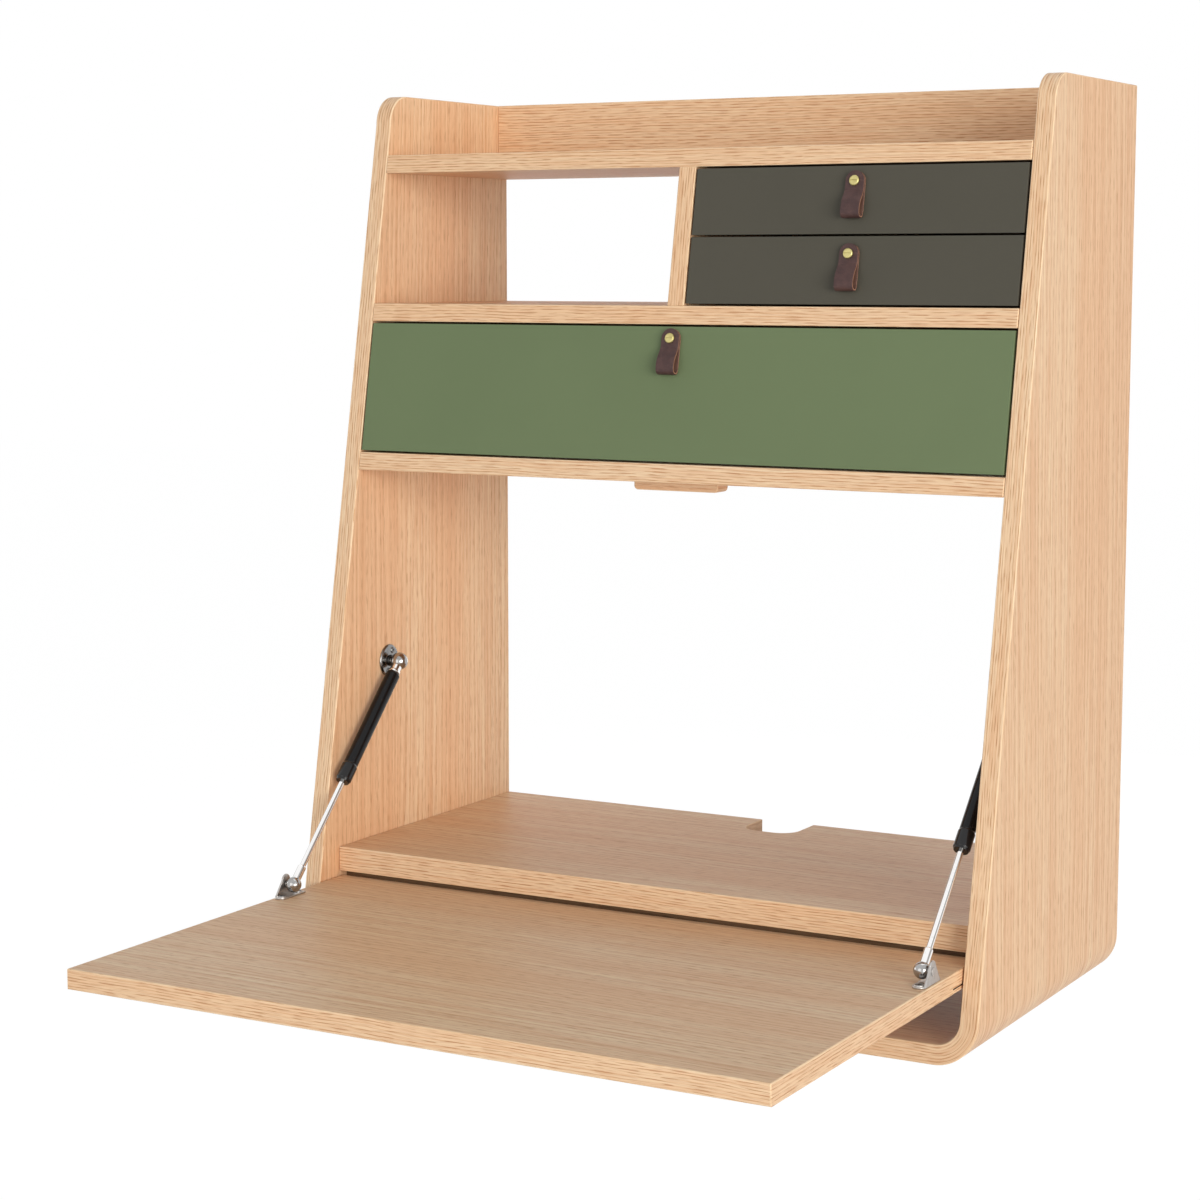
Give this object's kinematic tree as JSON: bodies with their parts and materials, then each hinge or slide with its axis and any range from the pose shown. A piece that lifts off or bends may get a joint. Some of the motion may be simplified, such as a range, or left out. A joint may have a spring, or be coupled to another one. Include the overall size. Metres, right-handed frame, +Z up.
{
  "type": "fold down wall desk",
  "caption": "Wall-hung oak desk with a bent U shell and sloping front, a fold-down writing flap on gas struts, painted drawers with leather pulls and an open niche.",
  "frame": {"origin": "midway between the two wall screws, on the wall plane", "axes": "+X to the user's right, +Y into the wall, +Z up"},
  "size_m": [0.736, 0.7643, 0.885],
  "materials": {
    "oak": "clear-lacquered oak veneer",
    "desk_oak": "clear-lacquered oak veneer, seen flat",
    "front_dark": "satin paint, dark olive grey",
    "front_green": "satin paint, sage green",
    "drawer_ply": "lacquered birch plywood",
    "runner_wood": "plain hardwood",
    "leather": "brown leather with natural cut edges",
    "brass": "brushed brass",
    "chrome": "polished chrome",
    "black_tube": "black lacquered steel",
    "black_gland": "black plastic",
    "steel": "bright steel"
  },
  "bodies": {
    "carcass": {"shell": "oak", "top_shelf": "oak", "mid_shelf": "oak", "low_shelf": "oak", "divider": "oak", "top_rail": "oak", "hanging_rail": "oak", "bay_back": "drawer_ply", "inner_shelf": "desk_oak", "shelf_rail": "oak", "under_block": "oak", "strut_plates": "chrome", "upper_drawer_runners": "runner_wood", "lower_drawer_runners": "runner_wood", "wide_drawer_runners": "runner_wood"},
    "flap": {"flap_panel": "desk_oak", "hinge_strip": "oak", "hinge_pins": "steel", "flap_brackets": "chrome"},
    "upper_drawer": {"upper_drawer_front": "front_dark", "upper_drawer_side_left": "drawer_ply", "upper_drawer_side_right": "drawer_ply", "upper_drawer_back": "drawer_ply", "upper_drawer_bottom": "drawer_ply", "upper_drawer_pull_strap": "leather", "upper_drawer_pull_stud": "brass"},
    "lower_drawer": {"lower_drawer_front": "front_dark", "lower_drawer_side_left": "drawer_ply", "lower_drawer_side_right": "drawer_ply", "lower_drawer_back": "drawer_ply", "lower_drawer_bottom": "drawer_ply", "lower_drawer_pull_strap": "leather", "lower_drawer_pull_stud": "brass"},
    "wide_drawer": {"wide_drawer_front": "front_green", "wide_drawer_side_left": "drawer_ply", "wide_drawer_side_right": "drawer_ply", "wide_drawer_back": "drawer_ply", "wide_drawer_bottom": "drawer_ply", "wide_drawer_pull_strap": "leather", "wide_drawer_pull_stud": "brass"},
    "rod_left": {"strut_rod_end_left": "chrome", "strut_rod_left": "chrome"},
    "tube_left": {"strut_tube_left": "black_tube", "strut_gland_left": "black_gland", "strut_socket_left": "chrome"},
    "rod_right": {"strut_rod_end_right": "chrome", "strut_rod_right": "chrome"},
    "tube_right": {"strut_tube_right": "black_tube", "strut_gland_right": "black_gland", "strut_socket_right": "chrome"}
  },
  "joints": [
    {"name": "flap_hinge", "type": "hinge", "parent": "carcass", "child": "flap", "pos_m": [0, -0.36747, -0.5507], "axis": [-1, 0, 0], "range_deg": [0, 100.47]},
    {"name": "rod_pivot_left", "type": "hinge", "parent": "flap", "child": "rod_left", "pos_m": [-0.3363, -0.43597, -0.5252], "axis": [-1, 0, 0], "range_deg": [-116.83, 0.5]},
    {"name": "tube_slide_left", "type": "slide", "parent": "rod_left", "child": "tube_left", "axis": [0, 0.694, 0.7199], "range_m": [-0.09385, 0.0005]},
    {"name": "rod_pivot_right", "type": "hinge", "parent": "flap", "child": "rod_right", "pos_m": [0.3363, -0.43597, -0.5252], "axis": [-1, 0, 0], "range_deg": [-116.83, 0.5]},
    {"name": "tube_slide_right", "type": "slide", "parent": "rod_right", "child": "tube_right", "axis": [0, 0.694, 0.7199], "range_m": [-0.09385, 0.0005]},
    {"name": "upper_drawer_slide", "type": "slide", "parent": "carcass", "child": "upper_drawer", "axis": [0, -1, 0], "range_m": [0, 0.14]},
    {"name": "lower_drawer_slide", "type": "slide", "parent": "carcass", "child": "lower_drawer", "axis": [0, -1, 0], "range_m": [0, 0.14]},
    {"name": "wide_drawer_slide", "type": "slide", "parent": "carcass", "child": "wide_drawer", "axis": [0, -1, 0], "range_m": [0, 0.16]}
  ],
  "couplings": [
    {"joint": "rod_pivot_left", "follows": "flap_hinge", "ratio": -1.1579},
    {"joint": "tube_slide_left", "follows": "flap_hinge", "m_per_rad": -0.053237},
    {"joint": "rod_pivot_right", "follows": "flap_hinge", "ratio": -1.1579},
    {"joint": "tube_slide_right", "follows": "flap_hinge", "m_per_rad": -0.053237}
  ]
}
